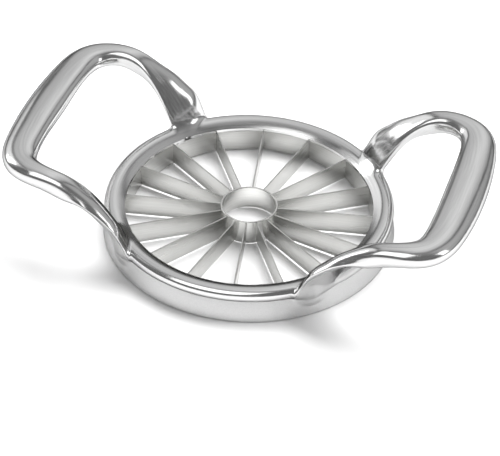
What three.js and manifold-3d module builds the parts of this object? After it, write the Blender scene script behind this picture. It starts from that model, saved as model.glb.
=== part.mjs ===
// A two-handed wedge slicer: one die-cast aluminium frame, a ring with two raised
// grip loops, carries a stainless blade star that is pressed into the ring from below.
// Millimetres, +Z up, ring axis on Z, foot of the ring on z = 0, grips along X.
import * as THREE from "three";
import { mergeVertices } from "three/addons/utils/BufferGeometryUtils.js";
import Module from "manifold-3d";

// Driving dimensions of the blade star
const bladeCount = 16;
const mouthRadius = 50;
const coreRadius = 11.6;
const coreWall = 0.8;
const coreHeight = 10.6;
const coreLift = 0.3;
const bladeThickness = 0.6;
const bladeHeight = 9.7;
const bladeLift = 0.6;
const groundHeight = 1.4;
const edgeLand = 0.12;
const tabHeight = 4;
const hoopWall = 0.8;

// Driving dimensions of the cast ring
const lipOverhang = 2.2;
const lipThickness = 1.1;
const footWall = 6.8;
const footRound = 0.7;
const creaseHeight = 8.9;
const creaseInset = 2;
const rollInset = 3.8;
const rollRise = 2.4;
const rollSwell = 1.8;

// Driving dimensions of the grip loops
const gripReach = 28;
const gripHeight = 39;
const gripHalfWidth = 8.15;
const gripHalfDepth = 4.55;
const rootAngle = THREE.MathUtils.degToRad(51.5);
const ovalPower = 0.76;

// Fits and cuts
const seatGap = 0.3;
const overrun = 2;
const weldLength = 0.002;

// Smoothness of the curved surfaces
const ringSteps = 96;
const profileSteps = 5;
const loopSteps = 66;
const sectionSteps = 20;
const coreSteps = 64;

// Sizes that follow from the driving ones
const pitchAngle = (2 * Math.PI) / bladeCount;
const halfPitch = pitchAngle / 2;
const boreRadius = mouthRadius + lipOverhang;
const footRadius = boreRadius + footWall;
const bladeTop = bladeLift + bladeHeight;
const lipUnderside = bladeTop + seatGap;
const mouthHeight = lipUnderside + lipThickness;
const rimHeight = mouthHeight + rollRise;
const hoopCornerRadius = boreRadius - seatGap;
const hoopFlatRadius = hoopCornerRadius * Math.cos(halfPitch);
const hoopInnerFlat = hoopFlatRadius - hoopWall;

const castAluminium = new THREE.MeshStandardMaterial({
  color: 0xc9cbcd,
  roughness: 0.22,
  metalness: 1,
});
const brushedStainless = new THREE.MeshStandardMaterial({
  color: 0xc6c6c4,
  roughness: 0.35,
  metalness: 1,
});

const wasm = await Module();
wasm.setup();

// A closed geometry as a solid that can be joined and cut.
function solidOf(geometry) {
  const bare = geometry.clone();
  bare.deleteAttribute("normal");
  bare.deleteAttribute("uv");
  const merged = mergeVertices(bare, 1e-4);
  return new wasm.Manifold(
    new wasm.Mesh({
      numProp: 3,
      vertProperties: new Float32Array(merged.attributes.position.array),
      triVerts: new Uint32Array(merged.index.array),
    }),
  );
}

// The geometry of a solid, with vertices closer than the weld length made one and the
// triangles that close up left out.
function geometryOf(solid) {
  const mesh = solid.getMesh();
  const raw = new THREE.BufferGeometry();
  const positions = new Float32Array(mesh.vertProperties);
  raw.setAttribute("position", new THREE.BufferAttribute(positions, 3));
  raw.setIndex(new THREE.BufferAttribute(new Uint32Array(mesh.triVerts), 1));
  const welded = mergeVertices(raw, weldLength);
  const corners = welded.index.array;
  const kept = [];
  for (let i = 0; i < corners.length; i += 3) {
    const [a, b, c] = corners.slice(i, i + 3);
    if (a !== b && b !== c && c !== a) kept.push(a, b, c);
  }
  welded.setIndex(kept);
  welded.computeVertexNormals();
  return welded;
}

function namedMesh(name, geometry, material) {
  const mesh = new THREE.Mesh(geometry, material.clone());
  mesh.name = name;
  return mesh;
}

// A closed profile of [radius, height] points turned about the Z axis.
function turned(profile, steps) {
  const points = profile.map((p) => new THREE.Vector2(p.x, p.y));
  points.push(points[0].clone());
  return new THREE.LatheGeometry(points, steps).rotateX(Math.PI / 2);
}

// The ring's section: foot, leaning satin wall, crease, polished roll that falls
// inwards to a thin lip over the mouth, and the straight bore that takes the hoop.
function ringProfile() {
  const creaseRadius = footRadius - creaseInset;
  const crestRadius = footRadius - rollInset;
  const outline = new THREE.Path();
  outline.moveTo(boreRadius, 0);
  outline.lineTo(footRadius - footRound, 0);
  outline.quadraticCurveTo(footRadius, 0, footRadius, footRound);
  const wallBulge = new THREE.Vector2(footRadius - creaseInset / 4, creaseHeight / 2);
  outline.quadraticCurveTo(wallBulge.x, wallBulge.y, creaseRadius, creaseHeight);
  const swellRadius = creaseRadius + rollSwell;
  const swellStart = creaseHeight + lipThickness;
  outline.bezierCurveTo(swellRadius, swellStart, swellRadius, rimHeight, crestRadius, rimHeight);
  const crestFlat = (crestRadius - mouthRadius) / 3;
  const slopeEnd = mouthRadius + crestFlat;
  const slopeRise = rollRise / 2;
  outline.bezierCurveTo(
    crestRadius - crestFlat,
    rimHeight,
    slopeEnd,
    mouthHeight + slopeRise,
    mouthRadius,
    mouthHeight,
  );
  outline.lineTo(mouthRadius, lipUnderside);
  outline.lineTo(boreRadius, lipUnderside);
  return outline.getPoints(profileSteps);
}

// Stations of one grip loop from the root in the ring's wall to the middle of the grip.
// Shares: along the reach from root to grip, across from the middle to the root, up to the
// grip's height, the section's long half size and its outer and inner half depths against
// the grip's, the lean of its long side and the turn of its plane against a quarter turn.
const loopShares = [
  [-0.104, 0.994, 0.092, 0.2, 0.22, 0.22, 1.12, 0],
  [-0.066, 0.979, 0.179, 0.48, 0.29, 0.47, 0.75, 0],
  [-0.022, 0.966, 0.236, 0.86, 0.44, 0.84, 0.72, 0],
  [0.037, 0.95, 0.326, 1.28, 0.46, 1.18, 0.71, 0],
  [0.117, 0.921, 0.441, 1.36, 0.34, 1.23, 0.64, 0],
  [0.224, 0.925, 0.619, 1.1, 0.34, 1.26, 0.54, 0],
  [0.354, 0.934, 0.805, 0.72, 0.52, 1.05, 0.31, 0],
  [0.503, 0.949, 0.931, 0.56, 1, 1, 0.08, 0],
  [0.662, 0.944, 0.99, 0.56, 0.96, 0.96, -0.02, 0.07],
  [0.867, 0.855, 1.003, 0.73, 0.89, 0.89, 0, 0.54],
  [0.98, 0.502, 1.008, 0.9, 0.82, 0.82, -0.06, 0.94],
  [1, 0, 0.997, 1, 1, 1, -0.07, 1],
];

function loopStations() {
  const rootX = footRadius * Math.cos(rootAngle);
  const rootY = footRadius * Math.sin(rootAngle);
  const gripX = footRadius + gripReach;
  const quarter = Math.PI / 2;
  const half = loopShares.map(([along, across, up, long, outer, inner, lean, turn]) => ({
    centre: new THREE.Vector3(
      THREE.MathUtils.lerp(rootX, gripX, along),
      -rootY * across,
      gripHeight * up,
    ),
    size: new THREE.Vector3(gripHalfWidth * long, gripHalfDepth * outer, gripHalfDepth * inner),
    angle: new THREE.Vector3(quarter * lean, quarter * turn, 0),
  }));
  const mirrored = half
    .slice(0, -1)
    .reverse()
    .map(({ centre, size, angle }) => ({
      centre: new THREE.Vector3(centre.x, -centre.y, centre.z),
      size,
      angle: new THREE.Vector3(angle.x, Math.PI - angle.y, 0),
    }));
  return [...half, ...mirrored];
}

// A rounded oval of one loop section: its long side points outward and leans up, and its
// depth differs on the outer and the inner side.
function sectionAt(centre, size, angle) {
  const outward = new THREE.Vector3(Math.sin(angle.y), -Math.cos(angle.y), 0);
  const up = new THREE.Vector3(0, 0, 1);
  const long = outward.clone().multiplyScalar(Math.cos(angle.x)).addScaledVector(up, Math.sin(angle.x));
  const short = outward.clone().multiplyScalar(-Math.sin(angle.x)).addScaledVector(up, Math.cos(angle.x));
  const points = [];
  for (let i = 0; i < sectionSteps; i += 1) {
    const t = (2 * Math.PI * i) / sectionSteps;
    const across = Math.sign(Math.cos(t)) * Math.abs(Math.cos(t)) ** ovalPower;
    const over = Math.sign(Math.sin(t)) * Math.abs(Math.sin(t)) ** ovalPower;
    const depth = over > 0 ? size.z : size.y;
    points.push(
      centre.clone().addScaledVector(long, across * size.x).addScaledVector(short, over * depth),
    );
  }
  return points;
}

// Skins a row of closed sections and caps both ends with fans.
function skinned(sections) {
  const count = sections[0].length;
  const positions = [];
  const index = [];
  sections.forEach((section) => section.forEach((p) => positions.push(p.x, p.y, p.z)));
  for (let i = 0; i < sections.length - 1; i += 1) {
    for (let j = 0; j < count; j += 1) {
      const next = (j + 1) % count;
      const a = i * count + j;
      const b = i * count + next;
      index.push(a, b + count, b, a, a + count, b + count);
    }
  }
  [0, sections.length - 1].forEach((row, end) => {
    const middle = sections[row].reduce((sum, p) => sum.add(p), new THREE.Vector3());
    middle.divideScalar(count);
    const hub = positions.length / 3;
    positions.push(middle.x, middle.y, middle.z);
    for (let j = 0; j < count; j += 1) {
      const a = row * count + j;
      const b = row * count + ((j + 1) % count);
      index.push(...(end === 0 ? [hub, a, b] : [hub, b, a]));
    }
  });
  const geometry = new THREE.BufferGeometry();
  geometry.setAttribute("position", new THREE.Float32BufferAttribute(positions, 3));
  geometry.setIndex(index);
  return geometry;
}

function gripLoop() {
  const stations = loopStations();
  const curveOf = (key) => {
    const curve = new THREE.CatmullRomCurve3(stations.map((s) => s[key]));
    return curve;
  };
  const centres = curveOf("centre");
  const sizes = curveOf("size");
  const angles = curveOf("angle");
  const sections = [];
  for (let i = 0; i <= loopSteps; i += 1) {
    const t = i / loopSteps;
    sections.push(sectionAt(centres.getPoint(t), sizes.getPoint(t), angles.getPoint(t)));
  }
  return skinned(sections);
}

// Ring and both loops joined into one casting.
function frameCasting() {
  const loop = gripLoop();
  const casting = solidOf(turned(ringProfile(), ringSteps))
    .add(solidOf(loop))
    .add(solidOf(loop.clone().rotateZ(Math.PI)));
  return namedMesh("frame_casting", geometryOf(casting), castAluminium);
}

function hoopOutline(flatRadius) {
  const cornerRadius = flatRadius / Math.cos(halfPitch);
  return Array.from({ length: bladeCount }, (_, k) => {
    const angle = halfPitch + k * pitchAngle;
    return new THREE.Vector2(cornerRadius * Math.cos(angle), cornerRadius * Math.sin(angle));
  });
}

// A sheet strip folded into a sixteen-sided hoop, with a slot at each fold for a blade's tab.
function bladeBand() {
  const outline = new THREE.Shape(hoopOutline(hoopFlatRadius));
  outline.holes.push(new THREE.Path(hoopOutline(hoopInnerFlat)));
  const strip = new THREE.ExtrudeGeometry(outline, { depth: bladeHeight, bevelEnabled: false });
  strip.translate(0, 0, bladeLift);
  let band = solidOf(strip);
  const slotLength = overrun * 2 + hoopWall;
  const slot = new THREE.BoxGeometry(
    slotLength,
    bladeThickness + 2 * seatGap,
    tabHeight + 2 * seatGap,
  );
  slot.translate(hoopCornerRadius, 0, bladeLift + bladeHeight / 2);
  for (let k = 0; k < bladeCount; k += 1) {
    band = band.subtract(solidOf(slot.clone().rotateZ(halfPitch + k * pitchAngle)));
  }
  return namedMesh("blade_band", geometryOf(band), brushedStainless);
}

// A short tube, its lower edge ground to a cutting edge from outside and its top edge broken.
function coreRing() {
  const bore = coreRadius - coreWall;
  const top = coreLift + coreHeight;
  const brokenEdge = coreWall / 4;
  const profile = [
    new THREE.Vector2(bore, coreLift),
    new THREE.Vector2(bore + edgeLand, coreLift),
    new THREE.Vector2(coreRadius, coreLift + groundHeight),
    new THREE.Vector2(coreRadius, top - brokenEdge),
    new THREE.Vector2(coreRadius - brokenEdge, top),
    new THREE.Vector2(bore, top),
  ];
  return namedMesh("core_ring", turned(profile, coreSteps), brushedStainless);
}

// One strip blade along +X: a body with the lower edge ground on both sides, and an end tab
// that passes through its slot in the hoop.
function bladeGeometry() {
  const half = bladeThickness / 2;
  const land = edgeLand / 2;
  const section = new THREE.Shape([
    new THREE.Vector2(-land, bladeLift),
    new THREE.Vector2(land, bladeLift),
    new THREE.Vector2(half, bladeLift + groundHeight),
    new THREE.Vector2(half, bladeTop),
    new THREE.Vector2(-half, bladeTop),
    new THREE.Vector2(-half, bladeLift + groundHeight),
  ]);
  const start = coreRadius + seatGap;
  const innerCorner = hoopInnerFlat / Math.cos(halfPitch);
  const end = innerCorner - (seatGap + half * Math.sin(halfPitch)) / Math.cos(halfPitch);
  const body = new THREE.ExtrudeGeometry(section, { depth: end - start, bevelEnabled: false });
  body.rotateX(Math.PI / 2).rotateZ(Math.PI / 2).translate(start, 0, 0);
  const tabStart = end - overrun;
  const tabEnd = hoopCornerRadius - edgeLand;
  const tab = new THREE.BoxGeometry(tabEnd - tabStart, bladeThickness, tabHeight);
  tab.translate((tabStart + tabEnd) / 2, 0, bladeLift + bladeHeight / 2);
  return geometryOf(solidOf(body).add(solidOf(tab)));
}

function blades() {
  const geometry = bladeGeometry();
  return Array.from({ length: bladeCount }, (_, k) => {
    const name = `blade_${String(k + 1).padStart(2, "0")}`;
    const blade = namedMesh(name, geometry, brushedStainless);
    blade.rotation.z = halfPitch + k * pitchAngle;
    return blade;
  });
}

const slicer = new THREE.Group();
slicer.add(frameCasting());
const star = new THREE.Group();
star.add(bladeBand(), coreRing(), ...blades());
slicer.add(star);

export default slicer;
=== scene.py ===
"""A two-handed wedge slicer in a plain studio: a die-cast aluminium frame, a folded
stainless hoop, a short core tube and sixteen ground blades, in metres, +Z up."""

import math

import bpy
import numpy as np
from mathutils import Matrix, Vector


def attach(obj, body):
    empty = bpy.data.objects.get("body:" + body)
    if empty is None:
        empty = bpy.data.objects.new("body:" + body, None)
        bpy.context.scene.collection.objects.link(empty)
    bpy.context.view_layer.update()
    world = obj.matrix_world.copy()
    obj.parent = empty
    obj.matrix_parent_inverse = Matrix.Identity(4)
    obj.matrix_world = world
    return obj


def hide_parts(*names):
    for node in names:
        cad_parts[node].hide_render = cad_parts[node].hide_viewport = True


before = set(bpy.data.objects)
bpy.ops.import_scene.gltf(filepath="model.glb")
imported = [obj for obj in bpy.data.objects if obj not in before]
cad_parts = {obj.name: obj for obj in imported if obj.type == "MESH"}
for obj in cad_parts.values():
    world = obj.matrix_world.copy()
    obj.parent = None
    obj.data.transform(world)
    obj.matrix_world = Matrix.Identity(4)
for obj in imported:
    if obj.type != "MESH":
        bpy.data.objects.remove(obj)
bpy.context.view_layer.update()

# The camera stands in front, a little to the right, and looks down about forty degrees.
# Its place was fitted to the ring, the core tube and both grip loops in the photograph.
MM = 0.001
camera_place = Vector((188.66, -608.36, 524.57)) * MM
camera_azimuth, camera_elevation, camera_roll = (math.radians(a) for a in (17.18, 39.553, 1.37))
focal_pixels, photo_width = 2031.38, 500
back = Vector(
    (
        math.sin(camera_azimuth) * math.cos(camera_elevation),
        -math.cos(camera_azimuth) * math.cos(camera_elevation),
        math.sin(camera_elevation),
    )
)
level_right = Vector((math.cos(camera_azimuth), math.sin(camera_azimuth), 0))
level_up = back.cross(level_right)
right = level_right * math.cos(camera_roll) + level_up * math.sin(camera_roll)
up = level_up * math.cos(camera_roll) - level_right * math.sin(camera_roll)
camera_data = bpy.data.cameras.new("studio_camera")
camera = bpy.data.objects.new("studio_camera", camera_data)
bpy.context.scene.collection.objects.link(camera)
camera_data.sensor_width = 36
camera_data.lens = focal_pixels / photo_width * camera_data.sensor_width
camera_data.clip_start, camera_data.clip_end = 0.01, 20
camera.matrix_world = (
    Matrix.Translation(camera_place) @ Matrix((right, up, back)).transposed().to_4x4()
)
bpy.context.scene.camera = camera


# The floor is a plain pale sheet that glows a little. A soft key light behind lights it and
# throws the short shadow in front. Soft boxes above the camera and at both sides show only
# in the metal, and the room is grey, darker in front and darkest at the horizon.
def add_object(name, mesh):
    """A mesh as an object at the origin."""
    made = bpy.data.objects.new(name, mesh)
    bpy.context.scene.collection.objects.link(made)
    return made


def colour(code):
    """An sRGB hex code as linear red, green and blue with an alpha of one."""
    channels = [int(code[i : i + 2], 16) / 255 for i in (0, 2, 4)]
    linear = [c / 12.92 if c <= 0.04045 else ((c + 0.055) / 1.055) ** 2.4 for c in channels]
    return (*linear, 1.0)


def new_material(name):
    """An empty node material and its output's surface socket."""
    material = bpy.data.materials.new(name)
    material.use_nodes = True
    material.node_tree.nodes.clear()
    output = material.node_tree.nodes.new("ShaderNodeOutputMaterial")
    return material, output.inputs["Surface"]


def add_node(owner, kind, settings=(), inputs=(), to=None):
    """Adds a node to a material or the room with its settings and its input values or
    links, and links its first output on."""
    tree = owner.node_tree
    node = tree.nodes.new(kind)
    for key, value in dict(settings).items():
        setattr(node, key, value)
    for key, value in dict(inputs).items():
        if isinstance(value, bpy.types.NodeSocket):
            tree.links.new(value, node.inputs[key])
        else:
            node.inputs[key].default_value = value
    if to is not None:
        tree.links.new(node.outputs[0], to)
    return node


floor_reach, floor_glow = 3.0, 0.06
front_room, horizon_room, horizon_top = 0.2, 0.16, 0.35
front_end, back_start = -0.3, 0.4
# The walls behind, each stop a sideways direction and a strength. The two dark gaps
# between them draw the dark lines along the grips.
back_walls = (
    (-1.0, 1.25),
    (-0.63, 1.25),
    (-0.6, 0.2),
    (-0.55, 0.2),
    (-0.5, 0.68),
    (-0.15, 0.85),
    (0.06, 1.05),
    (0.29, 0.62),
    (0.34, 0.2),
    (0.38, 0.2),
    (0.43, 0.55),
    (1.0, 0.55),
)
# Each light is a name, a place, a size and a power, and all face the middle of the floor.
floor_key = ("floor_key", (0.2, 0.6, 1.3), (2.2, 0.9), 43.0)
metal_boxes = (
    ("front_box", (-0.2, -0.8, 1.1), (1.2, 1.1), 7.2),
    ("left_box", (-1.0, 0.15, 0.5), (0.4, 0.6), 1.5),
    ("right_box", (1.0, 0.05, 0.5), (0.3, 0.6), 1.2),
)
floor_mesh = bpy.data.meshes.new("studio_floor")
floor_mesh.from_pydata(
    [(x * floor_reach, y * floor_reach, 0) for x, y in ((-1, -1), (1, -1), (1, 1), (-1, 1))],
    [],
    [(0, 1, 2, 3)],
)
studio_floor = add_object("studio_floor", floor_mesh)
pale_sheet, surface = new_material("pale_floor_sheet")
add_node(
    pale_sheet,
    "ShaderNodeBsdfPrincipled",
    inputs={
        "Base Color": colour("F4F4F4"),
        "Roughness": 0.9,
        "Specular IOR Level": 0.1,
        "Emission Color": colour("FFFFFF"),
        "Emission Strength": floor_glow,
    },
    to=surface,
)
floor_mesh.materials.append(pale_sheet)

world = bpy.data.worlds.new("studio_room")
world.use_nodes = True
world.node_tree.nodes.clear()
room = add_node(world, "ShaderNodeOutputWorld").inputs["Surface"]
direction = add_node(world, "ShaderNodeTexCoord").outputs["Generated"]
ways = add_node(world, "ShaderNodeSeparateXYZ", inputs={0: direction})
sideways = add_node(
    world,
    "ShaderNodeMapRange",
    inputs={"Value": ways.outputs["X"], "From Min": -1.0, "To Min": 0.0},
)
walls = add_node(world, "ShaderNodeValToRGB", inputs={0: sideways.outputs[0]})
for place, _ in back_walls[1:-1]:
    walls.color_ramp.elements.new((place + 1) / 2)
for stop, (place, strength) in zip(walls.color_ramp.elements, back_walls):
    stop.position, stop.color = (place + 1) / 2, (strength, strength, strength, 1.0)
towards_back = add_node(
    world,
    "ShaderNodeMapRange",
    {"interpolation_type": "SMOOTHSTEP"},
    {
        "Value": ways.outputs["Y"],
        "From Min": front_end,
        "From Max": back_start,
        "To Min": front_room,
        "To Max": walls.outputs["Color"],
    },
)
above_horizon = add_node(
    world,
    "ShaderNodeMapRange",
    {"interpolation_type": "SMOOTHSTEP"},
    {
        "Value": ways.outputs["Z"],
        "From Min": 0.0,
        "From Max": horizon_top,
        "To Min": horizon_room,
        "To Max": towards_back.outputs[0],
    },
)
add_node(
    world,
    "ShaderNodeBackground",
    inputs={"Color": colour("F5F5F5"), "Strength": above_horizon.outputs[0]},
    to=room,
)
bpy.context.scene.world = world

for name, place, size, power in (floor_key, *metal_boxes):
    light = bpy.data.lights.new(name, "AREA")
    light.shape = "RECTANGLE"
    light.size, light.size_y = size
    light.energy = power
    lamp = bpy.data.objects.new(name, light)
    bpy.context.scene.collection.objects.link(lamp)
    lamp.location = place
    lamp.rotation_euler = Vector(place).to_track_quat("Z", "Y").to_euler()
    lamp.visible_glossy = name != "floor_key"
    lamp.visible_diffuse = name == "floor_key"
bpy.context.scene.view_settings.view_transform = "Standard"


# The frame is one die-cast aluminium piece: a ring with a leaning satin wall, a polished
# roll over a sharp crease and a thin lip round the mouth, and two raised grip loops whose
# four webs grow out of the wall. Its sizes are in millimetres, heights from the table.
bore_radius, foot_radius, mouth_radius = 52.2, 59.0, 50.0
foot_round, lip_underside, mouth_height = 0.7, 10.6, 11.7
crease_radius, crease_height, wall_lean = 57.0, 8.9, 0.5
crest_radius, rim_height, roll_swell, roll_rise = 55.2, 14.1, 1.8, 1.1
slope_rise = 1.2
foot_steps, wall_steps, roll_steps, slope_steps = 5, 14, 26, 16


def bezier(points, steps):
    """The points of a Bezier curve of any degree: powers of the share done and the share
    left, times the binomial numbers, on the control points."""
    share = np.linspace(0, 1, steps + 1)[1:, None]
    points = np.asarray(points, float)
    degree = len(points) - 1
    return sum(
        math.comb(degree, i) * share**i * (1 - share) ** (degree - i) * points[i]
        for i in range(degree + 1)
    )


def ring_profile():
    """The ring's closed section as [radius, height] rows: foot, wall, crease, roll, inner
    slope, mouth edge, lip underside and bore. The curves between are Bezier curves."""
    foot_start, foot_end = (foot_radius - foot_round, 0), (foot_radius, foot_round)
    crease, crest = (crease_radius, crease_height), (crest_radius, rim_height)
    mouth = (mouth_radius, mouth_height)
    wall_middle = (foot_radius - wall_lean, crease_height / 2)
    swell = crease_radius + roll_swell
    third = (crest_radius - mouth_radius) / 3
    return np.vstack(
        [
            [(bore_radius, 0), foot_start],
            bezier([foot_start, (foot_radius, 0), foot_end], foot_steps),
            bezier([foot_end, wall_middle, crease], wall_steps),
            bezier(
                [crease, (swell, crease_height + roll_rise), (swell, rim_height), crest],
                roll_steps,
            ),
            bezier(
                [
                    crest,
                    (crest_radius - third, rim_height),
                    (mouth_radius + third, mouth_height + slope_rise),
                    mouth,
                ],
                slope_steps,
            ),
            [(mouth_radius, lip_underside), (bore_radius, lip_underside)],
        ]
    )


def grid_faces(rows, columns, close_rows=False):
    """The four corners of each quad on a grid, counted row by row. The columns close on
    themselves, and the rows too where asked."""
    i = np.arange(rows if close_rows else rows - 1)[:, None]
    j = np.arange(columns)[None, :]
    a = i * columns + j
    b = i * columns + (j + 1) % columns
    c = ((i + 1) % rows) * columns + (j + 1) % columns
    d = ((i + 1) % rows) * columns + j
    return np.stack([a, b, c, d], -1).reshape(-1, 4)


def mesh_of(name, points, faces, extra_faces=()):
    """A mesh in metres from points in millimetres."""
    mesh = bpy.data.meshes.new(name)
    mesh.from_pydata((np.asarray(points) * MM).tolist(), [], [*faces.tolist(), *extra_faces])
    mesh.update()
    return mesh


def turned(profile, steps):
    """A surface of revolution: the profile's radius times the cosine and the sine of the
    angle, and its height."""
    angle = np.arange(steps)[:, None] * (2 * math.pi / steps)
    radius, height = profile.T
    x = np.cos(angle) * radius
    return np.stack([x, np.sin(angle) * radius, np.broadcast_to(height, x.shape)], -1)


ring_steps = 540
ring_section = ring_profile()
ring_mesh = mesh_of(
    "ring",
    turned(ring_section, ring_steps).reshape(-1, 3),
    grid_faces(ring_steps, len(ring_section), True)[:, ::-1],
)

# One row for each station of a half loop: centre x, y, z, half length, outer and inner half
# thickness of the section, lean of its long side and turn of its plane, in millimetres and
# degrees, and the power of its rounded oval.
loop_stations = np.array(
    [
        [31.5, -45.9, 3.6, 1.63, 0.6, 1, 100.62, 0, 0.76],
        [33.4, -45.2, 7, 3.9, 0.5, 2.1, 67.38, 0, 0.76],
        [35.6, -44.62, 9.2, 6.99, 0.7, 3.8, 64.35, 0, 0.76],
        [38.6, -43.86, 12.7, 10.36, 1.0, 5.32, 63.87, 0, 0.76],
        [42.6, -42.51, 17.19, 11.01, 1.4, 5.56, 57.56, 0, 0.76],
        [48, -42.69, 24.13, 8.89, 1.54, 5.66, 48.93, 0, 0.76],
        [54.5, -43.14, 31.41, 5.85, 2.34, 4.74, 27.52, 0, 0.76],
        [62, -43.8, 36.3, 4.54, 4.5, 4.5, 7.59, 0, 0.76],
        [70, -43.6, 38.6, 4.5, 4.3, 4.3, -2, 6.3, 0.84],
        [80.3, -39.5, 38.9, 6.05, 4.3, 4.3, 0, 48.6, 0.9],
        [86, -23.2, 39.0, 7.45, 4.1, 4.1, -5.4, 84.6, 0.92],
        [86.9, 0, 38.75, 8.13, 4.7, 4.7, -6.3, 90, 0.92],
    ]
)


def spline(knots, rows, at):
    """A natural cubic spline through rows of values at the knots: its second slopes solve
    one set of linear equations, and it is read at the places given."""
    gaps = np.diff(knots)
    count = len(knots)
    system = np.eye(count)
    target = np.zeros((count, rows.shape[1]))
    for i in range(1, count - 1):
        system[i, i - 1 : i + 2] = gaps[i - 1], 2 * (gaps[i - 1] + gaps[i]), gaps[i]
        target[i] = 6 * ((rows[i + 1] - rows[i]) / gaps[i] - (rows[i] - rows[i - 1]) / gaps[i - 1])
    bend = np.linalg.solve(system, target)
    cell = np.clip(np.searchsorted(knots, at) - 1, 0, count - 2)
    width = gaps[cell][:, None]
    low = (knots[cell + 1] - at)[:, None]
    high = (at - knots[cell])[:, None]
    return (
        (bend[cell] * low**3 + bend[cell + 1] * high**3) / (6 * width)
        + (rows[cell] / width - bend[cell] * width / 6) * low
        + (rows[cell + 1] / width - bend[cell + 1] * width / 6) * high
    )


def whole_loop(half):
    """The stations of a whole loop: the half, then its mirror image across the X axis."""
    other = half[-2::-1].copy()
    other[:, 1] *= -1
    other[:, 7] = 180 - other[:, 7]
    return np.vstack([half, other])


def loop_sections(steps):
    """Stations of the whole loop at even steps along its centre line."""
    rows = whole_loop(loop_stations)
    knots = np.r_[0, np.cumsum(np.linalg.norm(np.diff(rows[:, :3], axis=0), axis=1))]
    return spline(knots, rows, np.linspace(0, knots[-1], steps))


def section_ways(lean, turn):
    """The long and short directions of sections: outward and upward unit vectors, turned
    about the path by the lean."""
    lean, turn = np.radians(lean), np.radians(turn)
    outward = np.stack([np.sin(turn), -np.cos(turn), 0 * turn], -1)
    upward = np.array([0.0, 0.0, 1.0])
    along, rise = np.cos(lean)[:, None], np.sin(lean)[:, None]
    return outward * along + upward * rise, upward * along - outward * rise


def loop_points(sections, points_round):
    """A rounded oval at each station: the signed power of cosine and sine along the long
    and short directions of the section, with its own thickness on either side."""
    x, y, z, half_long, outer_half, inner_half, lean, turn, power = sections.T
    long_way, short_way = section_ways(lean, turn)
    t = np.arange(points_round) * (2 * math.pi / points_round)
    across = np.sign(np.cos(t)) * np.abs(np.cos(t)) ** power[:, None]
    over = np.sign(np.sin(t)) * np.abs(np.sin(t)) ** power[:, None]
    half_thick = np.where(over > 0, inner_half[:, None], outer_half[:, None])
    centre = np.stack([x, y, z], -1)
    return (
        centre[:, None]
        + long_way[:, None] * (half_long[:, None] * across)[..., None]
        + short_way[:, None] * (half_thick * over)[..., None]
    )


loop_steps, points_round = 300, 80
loop = loop_points(loop_sections(loop_steps), points_round).reshape(-1, 3)
loop_faces = grid_faces(loop_steps, points_round)[:, ::-1]
loop_ends = [
    tuple(range(points_round)),
    tuple(range(len(loop) - 1, len(loop) - points_round - 1, -1)),
]
half_turn = np.array([-1.0, -1.0, 1.0])
loop_meshes = [
    mesh_of("right_loop", loop, loop_faces, loop_ends),
    mesh_of("left_loop", loop * half_turn, loop_faces, loop_ends),
]


def joined(mesh, others, name, sliver=0.12):
    """One closed mesh from several that cross each other, with the slivers along their
    seams merged away."""
    base = add_object(name, mesh)
    tools = [add_object(name + "_tool", other) for other in others]
    for tool in tools:
        union = base.modifiers.new("union", "BOOLEAN")
        union.operation, union.solver, union.object = "UNION", "MANIFOLD", tool
    merge = base.modifiers.new("merge", "WELD")
    merge.merge_threshold = sliver * MM
    bpy.context.view_layer.update()
    graph = bpy.context.evaluated_depsgraph_get()
    result = bpy.data.meshes.new_from_object(base.evaluated_get(graph))
    base.modifiers.clear()
    base.data = result
    for tool in tools:
        bpy.data.objects.remove(tool)
    return base


casting = joined(ring_mesh, loop_meshes, "cast_frame")


def distance_to_ring(points):
    """Signed distance to the ring: the least distance to the segments of its section,
    negative where a level ray crosses the section an odd number of times."""
    spot = np.stack([np.hypot(points[:, 0], points[:, 1]), points[:, 2]], -1)
    start, end = ring_section, np.roll(ring_section, -1, axis=0)
    along = end - start
    offset = spot[:, None] - start
    share = np.clip((offset * along).sum(-1) / (along**2).sum(-1), 0, 1)
    gap = np.linalg.norm(offset - share[..., None] * along, axis=-1).min(1)
    crosses = (start[:, 1] > spot[:, 1:]) != (end[:, 1] > spot[:, 1:])
    rise = np.where(along[:, 1] == 0, 1, along[:, 1])
    crossing = start[:, 0] + (spot[:, 1:] - start[:, 1]) / rise * along[:, 0]
    inside = (crosses & (spot[:, :1] < crossing)).sum(1) % 2 == 1
    return np.where(inside, -gap, gap)


# An arm is the loop from its root to where the grip starts, 62 mm out along the X axis.
arm_steps, arm_reach = 3000, 62
arm_stations = loop_sections(arm_steps)
arm_stations = arm_stations[: np.argmax(arm_stations[:, 0] > arm_reach)]


def place_in_arm(points):
    """How far a point lies along the long and short way of the arm's section through it,
    as shares of the section's half sizes. All four arms fold onto the first."""
    reach, side = np.abs(points[:, 0]), -np.abs(points[:, 1])
    rows = [np.interp(reach, arm_stations[:, 0], column) for column in arm_stations.T]
    _, y, z, half_long, outer_half, inner_half, lean, *_ = rows
    outward, upward, lean = y - side, points[:, 2] - z, np.radians(lean)
    long_share = (outward * np.cos(lean) + upward * np.sin(lean)) / half_long
    short_place = upward * np.cos(lean) - outward * np.sin(lean)
    return long_share, short_place / np.where(short_place > 0, inner_half, outer_half)


def slope_of(field, points, step=0.02):
    """The gradient of a field by central differences."""
    steps = np.eye(3) * step
    return np.stack([field(points + e) - field(points - e) for e in steps], -1) / (2 * step)


def arm_level(points):
    """The oval's level at a point: 1 on the surface, less inside."""
    power = 2 / loop_stations[0, 8]
    long_share, short_share = place_in_arm(points)
    return (np.abs(long_share) ** power + np.abs(short_share) ** power) ** (1 / power)


def distance_to_arm(points):
    """Nearly the signed distance to the arm: its level less one, over the level's slope."""
    return (arm_level(points) - 1) / np.linalg.norm(slope_of(arm_level, points), axis=-1)


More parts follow.
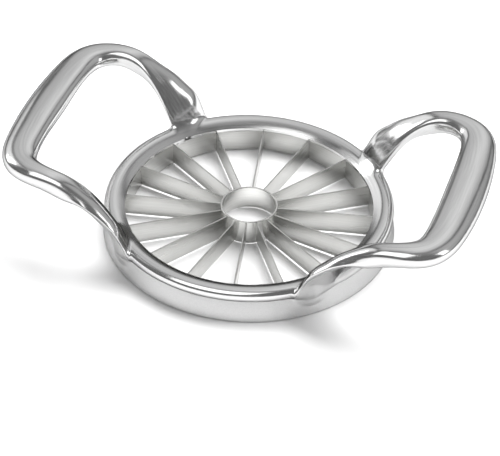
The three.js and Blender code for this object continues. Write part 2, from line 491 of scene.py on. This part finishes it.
# The fillets' widths at places along the X axis, and the heights between which they fade in.
outer_fillet = ([33.0, 35.0, 38.5, 41.0, 44.0, 48.0], [0.8, 3.0, 6.5, 7.0, 2.5, 2.0])
inner_fillet = ([33.5, 38.0], [1.0, 3.0])
least_fillet, fillet_foot = 0.3, (1.5, 7.0)


def fade(value, none, full):
    """A soft S from nought at one value to one at another: three squares less two cubes of
    the share of the way between them."""
    share = np.clip((value - none) / (full - none), 0, 1)
    return share * share * (3 - 2 * share)


def fillet_width(points):
    """The fillet is narrow at the notch and where the arm leaves the ring, wide on the
    outer face between them, narrower on the inner side, and fades out towards the foot."""
    reach = np.abs(points[:, 0])
    outer_width, inner_width = np.interp(reach, *outer_fillet), np.interp(reach, *inner_fillet)
    inner = fade(place_in_arm(points)[1], -1, 1)
    width = outer_width + (inner_width - outer_width) * inner
    return least_fillet + (width - least_fillet) * fade(points[:, 2], *fillet_foot)


def blended(points):
    """The casting with fillets: the smaller of the two distances, less a quarter of the
    fillet's width times the square of how evenly near both surfaces are."""
    ring, arm = distance_to_ring(points), distance_to_arm(points)
    width = fillet_width(points)
    even = np.clip(width - np.abs(ring - arm), 0, None) / width
    return np.minimum(ring, arm) - even * even * width / 4


def mesh_points(mesh):
    """The vertices' places in millimetres, one row each."""
    points = np.zeros(len(mesh.vertices) * 3)
    mesh.vertices.foreach_get("co", points)
    return points.reshape(-1, 3) / MM


# The roots lie between these two places along the X axis and beyond this one along Y.
root_reach, root_side = (31, 58), 20
fillet_turns, least_slope = 12, 0.3


def with_fillets(mesh):
    """Moves the vertices near the four roots onto the blended surface: each steps down the
    slope by the distance over the slope's square. From the third turn on each first goes
    half way to the middle of its neighbours, which evens them out along the surface. The
    first three turns and the last step twice."""
    points = mesh_points(mesh)
    edges = np.zeros(len(mesh.edges) * 2, int)
    mesh.edges.foreach_get("vertices", edges)
    edges = edges.reshape(-1, 2)
    one, other = np.vstack([edges, edges[:, ::-1]]).T
    links = np.bincount(one)
    reach, side = np.abs(points[:, 0]), np.abs(points[:, 1])
    zone = np.flatnonzero((reach > root_reach[0]) & (reach < root_reach[1]) & (side > root_side))
    ring, arm = distance_to_ring(points[zone]), distance_to_arm(points[zone])
    near = zone[np.abs(ring - arm) < fillet_width(points[zone])]
    for turn in range(fillet_turns):
        if turn > 1:
            total = [np.bincount(one, weights=points[other, axis]) for axis in range(3)]
            middle = np.stack(total, -1)[near] / links[near, None]
            points[near] += (middle - points[near]) / 2
        for _ in range(2 if turn in (0, 1, 2, fillet_turns - 1) else 1):
            slope = slope_of(blended, points[near])
            size = np.maximum((slope**2).sum(-1), least_slope)
            points[near] -= slope * (blended(points[near]) / size)[:, None]
    mesh.vertices.foreach_set("co", (points * MM).ravel())
    mesh.update()


def smooth_but_edges(mesh, edge_angle=34):
    """Smooth shading, with the edges that turn by more than the angle left sharp."""
    mesh.polygons.foreach_set("use_smooth", np.ones(len(mesh.polygons), bool))
    mesh.set_sharp_from_angle(angle=math.radians(edge_angle))


with_fillets(casting.data)
smooth_but_edges(casting.data)

# The streaks follow a loop by this many stations, and a point lies within this share of a
# step of one.
streak_stations, widest_step = 400, 0.6


def place_on_loop(points):
    """Millimetres along, across and through the loop at each point: the nearest station of
    the centre line, the step along its tangent, and the offset along the section's ways.
    The left loop is the right one after half a turn."""
    stations = loop_sections(streak_stations)
    side = np.where(points[:, :1] < 0, -1.0, 1.0)
    spot = points * np.hstack([side, side, np.ones_like(side)])
    centre = stations[:, :3]
    nearest = ((centre**2).sum(-1) - 2 * spot @ centre.T).argmin(1)
    tangent = np.gradient(centre, axis=0)[nearest]
    step = ((spot - centre[nearest]) * tangent).sum(-1) / (tangent**2).sum(-1)
    place = nearest + np.clip(step, -widest_step, widest_step)
    rows = np.stack([np.interp(place, np.arange(len(stations)), r) for r in stations.T], -1)
    offset = spot - rows[:, :3]
    long_way, short_way = section_ways(rows[:, 6], rows[:, 7])
    run = np.r_[0, np.cumsum(np.linalg.norm(np.diff(centre, axis=0), axis=1))]
    along = np.interp(place, np.arange(len(stations)), run)
    return np.stack([along, (offset * long_way).sum(-1), (offset * short_way).sum(-1)], -1)


# Where the finishes meet: each pair holds the value where a finish starts to show and the
# one where it is full. Lengths are in millimetres, the web's in shares of its half sizes.
web_edge, web_outer_face = (0.86, 0.7), (-0.1, -0.4)
web_start, web_finish, web_on_loop = (32.5, 34), (50, 44), (0, 0.4)
wall_top = (crease_height + 0.3, crease_height)
covered_start, covered_end = (38, 41), (55, 52)
covered_radius = (crest_radius, crest_radius + 0.8)
covered_top = (rim_height - 0.3, rim_height - 1.1)
loop_reach, loop_alone_height = (31.5, 58), rim_height + 8


def mark_finish(mesh):
    """Writes three readings on the vertices: how much each belongs to a loop, its place on
    the loop, and how far it is shot-blasted, which is all below the crease, the outer face
    of each web up to its edge, and the outer side of the roll where a loop covers it."""
    points = mesh_points(mesh)
    reach, height = np.abs(points[:, 0]), points[:, 2]
    radius = np.hypot(points[:, 0], points[:, 1])
    loop_share = fade(distance_to_ring(points) - distance_to_arm(points), -1, 1)
    loop_share[(reach < loop_reach[0]) | (reach > loop_reach[1])] = 0
    loop_share[height > loop_alone_height] = 1
    long_share, short_share = place_in_arm(points)
    web = fade(long_share, *web_edge) * fade(short_share, *web_outer_face)
    web *= fade(reach, *web_start) * fade(reach, *web_finish) * fade(loop_share, *web_on_loop)
    covered = fade(reach, *covered_start) * fade(reach, *covered_end)
    covered *= fade(radius, *covered_radius) * fade(height, *covered_top)
    wall = np.maximum(fade(height, *wall_top), covered) * (1 - loop_share)
    blasted = 1 - (1 - web) * (1 - wall)
    for name, kind, values in (
        ("loop_share", "FLOAT", loop_share),
        ("blasted", "FLOAT", blasted),
        ("loop_place", "FLOAT_VECTOR", place_on_loop(points)),
    ):
        layer = mesh.attributes.new(name, kind, "POINT")
        layer.data.foreach_set("vector" if kind == "FLOAT_VECTOR" else "value", values.ravel())


mark_finish(casting.data)

# Die-cast aluminium, belt-ground and mopped to a bright, slightly wavy polish whose fine
# streaks run round the ring and along the loops. The wall below the crease and the webs'
# outer faces are shot-blasted: an even pale satin. Streaks are drawn 0.7 mm wide, several
# times coarser than real ones, so that they show, and the pits of the blasting 0.35 mm,
# about twice as coarse. A grey edge tint keeps the outlines of rim and grips dark. Sizes
# and depths are in millimetres. Most of the noise lies between the last two values.
streak_width, streak_length, wave_length, blast_pit = 0.7, 30.0, 7.0, 0.35
streak_depth, wave_depth, pit_depth = 0.013, 0.045, 0.012
polished_rough, blasted_rough = (0.1, 0.23), (0.42, 0.54)
aluminium_tints, edge_tint = ("C8C8C8", "E8E8E8"), "6E6E6E"
noise_low, noise_high = 0.3, 0.7
cast_aluminium, surface = new_material("polished_and_blasted_die_cast_aluminium")
place = add_node(cast_aluminium, "ShaderNodeTexCoord").outputs["Object"]
loop_place = add_node(cast_aluminium, "ShaderNodeAttribute", {"attribute_name": "loop_place"})
loop_share = add_node(cast_aluminium, "ShaderNodeAttribute", {"attribute_name": "loop_share"})
blasted = add_node(cast_aluminium, "ShaderNodeAttribute", {"attribute_name": "blasted"})
millimetres = add_node(
    cast_aluminium, "ShaderNodeVectorMath", {"operation": "SCALE"}, {0: place, "Scale": 1 / MM}
).outputs[0]
spot = add_node(cast_aluminium, "ShaderNodeSeparateXYZ", inputs={0: millimetres})
flat_spot = add_node(
    cast_aluminium, "ShaderNodeCombineXYZ", inputs={0: spot.outputs["X"], 1: spot.outputs["Y"]}
)
radius = add_node(
    cast_aluminium, "ShaderNodeVectorMath", {"operation": "LENGTH"}, {0: flat_spot.outputs[0]}
)
round_ring = add_node(
    cast_aluminium,
    "ShaderNodeVectorMath",
    {"operation": "MULTIPLY"},
    {0: millimetres, 1: (1 / streak_length, 1 / streak_length, 1 / streak_width)},
)
ring_row = add_node(
    cast_aluminium,
    "ShaderNodeMath",
    {"operation": "MULTIPLY"},
    {0: radius.outputs["Value"], 1: 1 / streak_width},
)
ring_streaks = add_node(
    cast_aluminium,
    "ShaderNodeTexNoise",
    {"noise_dimensions": "4D"},
    {"Vector": round_ring.outputs[0], "W": ring_row.outputs[0], "Scale": 1.0, "Detail": 3.0},
)
along_loop = add_node(
    cast_aluminium,
    "ShaderNodeVectorMath",
    {"operation": "MULTIPLY"},
    {0: loop_place.outputs["Vector"], 1: (1 / streak_length, 1 / streak_width, 1 / streak_width)},
)
loop_streaks = add_node(
    cast_aluminium,
    "ShaderNodeTexNoise",
    inputs={"Vector": along_loop.outputs[0], "Scale": 1.0, "Detail": 3.0},
)
streaks = add_node(
    cast_aluminium,
    "ShaderNodeMix",
    inputs={0: loop_share.outputs["Fac"], 2: ring_streaks.outputs[0], 3: loop_streaks.outputs[0]},
).outputs[0]
waves = add_node(
    cast_aluminium,
    "ShaderNodeTexNoise",
    inputs={"Vector": millimetres, "Scale": 1 / wave_length, "Detail": 1.0},
).outputs[0]
pits = add_node(
    cast_aluminium,
    "ShaderNodeTexNoise",
    inputs={"Vector": millimetres, "Scale": 1 / blast_pit, "Detail": 2.0},
).outputs[0]
streak_rough = add_node(
    cast_aluminium,
    "ShaderNodeMapRange",
    inputs={
        "Value": streaks,
        "From Min": noise_low,
        "From Max": noise_high,
        "To Min": polished_rough[0],
        "To Max": polished_rough[1],
    },
)
pit_rough = add_node(
    cast_aluminium,
    "ShaderNodeMapRange",
    inputs={
        "Value": pits,
        "From Min": noise_low,
        "From Max": noise_high,
        "To Min": blasted_rough[0],
        "To Max": blasted_rough[1],
    },
)
rough = add_node(
    cast_aluminium,
    "ShaderNodeMix",
    inputs={0: blasted.outputs["Fac"], 2: streak_rough.outputs[0], 3: pit_rough.outputs[0]},
)
grain = add_node(
    cast_aluminium,
    "ShaderNodeMix",
    inputs={0: blasted.outputs["Fac"], 2: streaks, 3: pits},
)
tint = add_node(
    cast_aluminium,
    "ShaderNodeMix",
    {"data_type": "RGBA"},
    {0: grain.outputs[0], 6: colour(aluminium_tints[0]), 7: colour(aluminium_tints[1])},
)
wavy = add_node(
    cast_aluminium,
    "ShaderNodeBump",
    inputs={"Strength": 1.0, "Distance": wave_depth * MM, "Height": waves},
)
polished = add_node(
    cast_aluminium,
    "ShaderNodeMath",
    {"operation": "SUBTRACT"},
    {0: 1.0, 1: blasted.outputs["Fac"]},
)
streaky = add_node(
    cast_aluminium,
    "ShaderNodeBump",
    inputs={
        "Strength": polished.outputs[0],
        "Distance": streak_depth * MM,
        "Height": streaks,
        "Normal": wavy.outputs[0],
    },
)
pitted = add_node(
    cast_aluminium,
    "ShaderNodeBump",
    inputs={
        "Strength": blasted.outputs["Fac"],
        "Distance": pit_depth * MM,
        "Height": pits,
        "Normal": streaky.outputs[0],
    },
)
add_node(
    cast_aluminium,
    "ShaderNodeBsdfPrincipled",
    inputs={
        "Base Color": tint.outputs[2],
        "Metallic": 1.0,
        "Specular Tint": colour(edge_tint),
        "Roughness": rough.outputs[0],
        "Normal": pitted.outputs[0],
    },
    to=surface,
)
casting.data.materials.clear()
casting.data.materials.append(cast_aluminium)
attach(casting, "root")
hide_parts("frame_casting")


# The hoop is a strip of stainless sheet folded at sixteen places and pressed up into the
# bore under the lip. It keeps its plain rolled finish: a dull, faintly lined grey.
blade_count, sheet_thickness, fold_radius, strip_edge = 16, 0.8, 1.5, 0.15
star_lift, star_height, bore_gap = 0.6, 9.7, 0.3
star_top = star_lift + star_height
half_pitch = math.pi / blade_count
inner_flat = (bore_radius - bore_gap) * math.cos(half_pitch) - sheet_thickness


def rounded(corners, radii, steps=4):
    """A closed outline with rounded corners: each is a parabola that leaves one side a
    radius before the corner and meets the next side a radius after it."""
    corners = np.asarray(corners, float)
    radii = np.broadcast_to(radii, len(corners))[:, None]
    before, after = np.roll(corners, 1, 0) - corners, np.roll(corners, -1, 0) - corners
    start = corners + before / np.linalg.norm(before, axis=1, keepdims=True) * radii
    end = corners + after / np.linalg.norm(after, axis=1, keepdims=True) * radii
    return np.vstack(
        [part for s, c, e in zip(start, corners, end) for part in (s, bezier([s, c, e], steps))]
    )


def folded_band(section):
    """The section's offset from the inner flats and its height, carried round a sixteen-
    sided outline whose corners are bends: the outline grows with the offset."""
    angle = half_pitch * (1 + 2 * np.arange(blade_count))
    corner_ways = np.stack([np.cos(angle), np.sin(angle)], -1)
    outlines = []
    for offset, height in section:
        corners = corner_ways * (inner_flat + offset) / math.cos(half_pitch)
        outline = rounded(corners, (fold_radius + offset) * math.tan(half_pitch))
        outlines.append(np.column_stack([outline, np.full(len(outline), height)]))
    return np.stack(outlines, 1)


scratch_depth, rough_spread = 0.0006, 0.07
mark_width, mark_length, grind_fade = 0.3, 4.5, 0.1


def stainless(name, tint, rough, line_height, line_length, ground_top=-1.0):
    """Stainless steel: level lines, with their height and length in millimetres, vary the
    roughness and the tint a little and are scratched in. Below the ground top the lines
    are grinding marks that run across the edge. All are drawn 0.3 to 0.6 mm wide, several
    times coarser than real ones, so that they show."""
    steel, surface = new_material(name)
    place = add_node(steel, "ShaderNodeTexCoord").outputs["Object"]
    length, height = 1 / (line_length * MM), 1 / (line_height * MM)
    across, along = 1 / (mark_width * MM), 1 / (mark_length * MM)
    grain = [
        add_node(
            steel,
            "ShaderNodeTexNoise",
            inputs={
                "Vector": add_node(
                    steel, "ShaderNodeVectorMath", {"operation": "MULTIPLY"}, {0: place, 1: scale}
                ).outputs[0],
                "Scale": 1.0,
                "Detail": 2.0,
            },
        ).outputs[0]
        for scale in ((length, length, height), (across, across, along))
    ]
    ground = add_node(
        steel,
        "ShaderNodeMapRange",
        inputs={
            "Value": add_node(steel, "ShaderNodeSeparateXYZ", inputs={0: place}).outputs["Z"],
            "From Min": ground_top * MM,
            "From Max": (ground_top - grind_fade) * MM,
        },
    )
    lines = add_node(
        steel, "ShaderNodeMix", inputs={0: ground.outputs[0], 2: grain[0], 3: grain[1]}
    ).outputs[0]
    line_rough = add_node(
        steel,
        "ShaderNodeMapRange",
        inputs={
            "Value": lines,
            "From Min": noise_low,
            "From Max": noise_high,
            "To Min": rough - rough_spread,
            "To Max": rough + rough_spread,
        },
    )
    line_tint = add_node(
        steel,
        "ShaderNodeMix",
        {"data_type": "RGBA"},
        {0: lines, 6: colour(tint[0]), 7: colour(tint[1])},
    )
    scratched = add_node(
        steel,
        "ShaderNodeBump",
        inputs={"Strength": 1.0, "Distance": scratch_depth * MM, "Height": lines},
    )
    add_node(
        steel,
        "ShaderNodeBsdfPrincipled",
        inputs={
            "Base Color": line_tint.outputs[2],
            "Metallic": 1.0,
            "Roughness": line_rough.outputs[0],
            "Normal": scratched.outputs[0],
        },
        to=surface,
    )
    return steel


def steel_piece(name, points, faces, steel, node, extra_faces=()):
    """A stainless piece that stands for a CAD node and rides on the casting's body."""
    piece = add_object(name, mesh_of(name, points, faces, extra_faces))
    smooth_but_edges(piece.data)
    piece.data.materials.append(steel)
    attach(piece, "root")
    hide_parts(node)


hoop_section = rounded(
    [
        (0, star_lift),
        (sheet_thickness, star_lift),
        (sheet_thickness, star_top),
        (0, star_top),
    ],
    strip_edge,
)
hoop_points = folded_band(hoop_section)
hoop_steel = stainless(
    "rolled_stainless_strip", ("B8B8B6", "D0D0CE"), rough=0.36, line_height=0.6, line_length=30
)
steel_piece(
    "folded_hoop",
    hoop_points.reshape(-1, 3),
    grid_faces(len(hoop_points), len(hoop_section), True)[:, ::-1],
    hoop_steel,
    "blade_band",
)


# The core ring is a short length of stainless tube with a rounded top edge and its lower
# edge ground sharp from inside. It is turned bright, which leaves level lines, and is held
# by the blades that are welded to it.
core_radius, core_wall, core_lift, core_height, core_steps = 11.6, 0.8, 0.3, 10.6, 192
core_bore, core_top = core_radius - core_wall, core_lift + core_height
ground_height, edge_land = 1.4, 0.12
core_ground_top, core_rounding = core_lift + ground_height, [0.03, 0.03, 0.25, 0.25, 0.2]
core_section = rounded(
    [
        (core_radius - edge_land, core_lift),
        (core_radius, core_lift),
        (core_radius, core_top),
        (core_bore, core_top),
        (core_bore, core_ground_top),
    ],
    core_rounding,
)
core_steel = stainless(
    "turned_stainless_tube",
    ("C8C8C6", "E2E2E0"),
    rough=0.13,
    line_height=0.4,
    line_length=15,
    ground_top=core_ground_top,
)
steel_piece(
    "turned_core_tube",
    turned(core_section, core_steps).reshape(-1, 3),
    grid_faces(core_steps, len(core_section), True)[:, ::-1],
    core_steel,
    "core_ring",
)


# The blades are sixteen strips of stainless sheet, brushed along their length to a soft
# grey shine, with a rounded top edge and the lower edge ground on both sides. The inner end
# is welded to the core ring, and a tab at the outer end is held in a fold of the hoop.
blade_half, tab_half, tab_height, tab_edge = 0.3, 0.28, 4.0, 0.1
weld_depth, blade_end, tab_end = 0.1, 51.0, 51.78
blade_start, blade_ground_top = core_radius - weld_depth, star_lift + ground_height
blade_rounding = [0.02, 0.02, 0.15, 0.2, 0.2, 0.15]
strip_section = rounded(
    [
        (-edge_land / 2, star_lift),
        (edge_land / 2, star_lift),
        (blade_half, blade_ground_top),
        (blade_half, star_top),
        (-blade_half, star_top),
        (-blade_half, blade_ground_top),
    ],
    blade_rounding,
)
tab_middle = star_lift + star_height / 2
tab_low, tab_high = tab_middle - tab_height / 2, tab_middle + tab_height / 2
tab_section = rounded(
    [
        (-tab_half, tab_low),
        (tab_half, tab_low),
        (tab_half, tab_middle),
        (tab_half, tab_high),
        (-tab_half, tab_high),
        (-tab_half, tab_middle),
    ],
    tab_edge,
)
# A blade is the strip's outline at both its ends, and the tab's outline at both of its own.
blade_stations = (
    (blade_start, strip_section),
    (blade_end, strip_section),
    (blade_end, tab_section),
    (tab_end, tab_section),
)
blade_points = np.vstack(
    [np.column_stack([np.full(len(section), x), section]) for x, section in blade_stations]
)
columns = len(strip_section)
blade_caps = [
    tuple(range(columns - 1, -1, -1)),
    tuple(range(len(blade_points) - columns, len(blade_points))),
]
blade_steel = stainless(
    "brushed_stainless_blade_strip",
    ("BCBCBA", "D6D6D4"),
    rough=0.34,
    line_height=0.5,
    line_length=25,
    ground_top=blade_ground_top,
)
for number in range(blade_count):
    angle = half_pitch * (1 + 2 * number)
    cosine, sine = math.cos(angle), math.sin(angle)
    steel_piece(
        f"ground_blade_{number + 1:02d}",
        blade_points @ np.array([[cosine, sine, 0], [-sine, cosine, 0], [0, 0, 1]]),
        grid_faces(len(blade_stations), columns),
        blade_steel,
        f"blade_{number + 1:02d}",
        blade_caps,
    )
